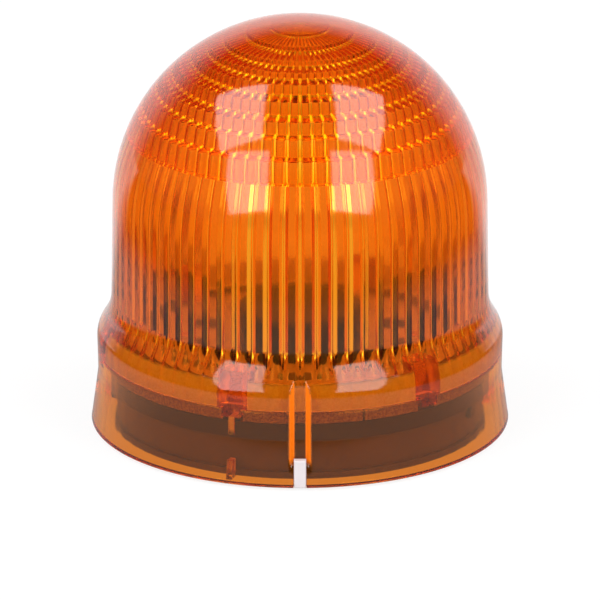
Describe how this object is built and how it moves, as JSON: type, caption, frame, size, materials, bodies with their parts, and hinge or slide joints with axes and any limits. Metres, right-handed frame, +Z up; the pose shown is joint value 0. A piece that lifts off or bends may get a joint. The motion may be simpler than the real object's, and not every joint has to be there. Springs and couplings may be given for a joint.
{
  "type": "signal beacon",
  "caption": "Amber domed signal beacon: clear dome with inner flutes and prism rings and a flared collar, on a bayonet base with a diode light board and a supply terminal.",
  "frame": {"origin": "middle of the foot, on the plane that the base seal stands on", "axes": "+Z up along the dome's axis, -Y towards the index mark, +X to the right seen from the front"},
  "size_m": [0.0696, 0.0696, 0.069],
  "materials": {
    "amber_polycarbonate": "clear amber, moulded gloss",
    "white_nylon": "satin moulded",
    "foam": "open skin foam, matte",
    "black_abs": "fine texture, moulded",
    "seal_rubber": "matte moulded",
    "screw_steel": "zinc plated",
    "white_solder_mask": "glass laminate under a white solder mask",
    "cover_abs": "black, moulded gloss",
    "diode_housing": "white moulded",
    "diode_fill": "clear cast resin",
    "terminal_nylon": "dark grey moulded",
    "tinned_brass": "tin plated",
    "moulding_compound": "black epoxy moulding",
    "tinned_leads": "tin plated",
    "can_aluminium": "drawn, satin",
    "ferrite": "pressed and fired, dull",
    "blue_epoxy": "dipped coat",
    "white_ceramic": "fired ceramic with tinned caps",
    "resistor_glaze": "dark glaze"
  },
  "bodies": {
    "base": {"bayonet_ring": "black_abs", "base_cup": "black_abs", "base_seal": "seal_rubber", "cable_grommet": "seal_rubber", "ring_screws": "screw_steel", "board_screws": "screw_steel", "circuit_board": "white_solder_mask", "driver_cover": "cover_abs", "led_packages": "diode_housing", "led_lenses": "diode_fill", "terminal_block": "terminal_nylon", "contact_bars": "tinned_brass", "bridge_rectifier": "moulding_compound", "rectifier_leads": "tinned_leads", "capacitor_can": "can_aluminium", "capacitor_base": "moulding_compound", "choke_coil": "ferrite", "driver_chip": "moulding_compound", "chip_leads": "tinned_leads", "surge_absorber": "blue_epoxy", "fuse_link": "white_ceramic", "chip_resistors": "resistor_glaze"},
    "gasket": {"lens_gasket": "foam"},
    "dome": {"lens_dome": "amber_polycarbonate", "index_marker": "white_nylon"},
    "screw_left": {"terminal_screw_left": "screw_steel"},
    "clamp_left": {"wire_clamp_left": "tinned_brass"},
    "screw_right": {"terminal_screw_right": "screw_steel"},
    "clamp_right": {"wire_clamp_right": "tinned_brass"}
  },
  "joints": [
    {"name": "dome_twist", "type": "hinge", "parent": "base", "child": "gasket", "pos_m": [0, 0, 0], "axis": [0, 0, 1], "range_deg": [-20, 0]},
    {"name": "dome_lift", "type": "slide", "parent": "gasket", "child": "dome", "axis": [0, 0, 1], "range_m": [0, 0.06]},
    {"name": "clamp_left_rise", "type": "slide", "parent": "base", "child": "clamp_left", "axis": [0, 0, -1], "range_m": [0, 0.00135]},
    {"name": "screw_left_turn", "type": "hinge", "parent": "base", "child": "screw_left", "pos_m": [-0.0025, 0.0105, 0.0043], "axis": [0, 0, 1], "range_deg": [0, 1080]},
    {"name": "clamp_right_rise", "type": "slide", "parent": "base", "child": "clamp_right", "axis": [0, 0, -1], "range_m": [0, 0.00135]},
    {"name": "screw_right_turn", "type": "hinge", "parent": "base", "child": "screw_right", "pos_m": [0.0025, 0.0105, 0.0043], "axis": [0, 0, 1], "range_deg": [0, 1080]}
  ],
  "couplings": [
    {"joint": "screw_left_turn", "follows": "clamp_left_rise", "rad_per_m": 13963},
    {"joint": "screw_right_turn", "follows": "clamp_right_rise", "rad_per_m": 13963}
  ]
}
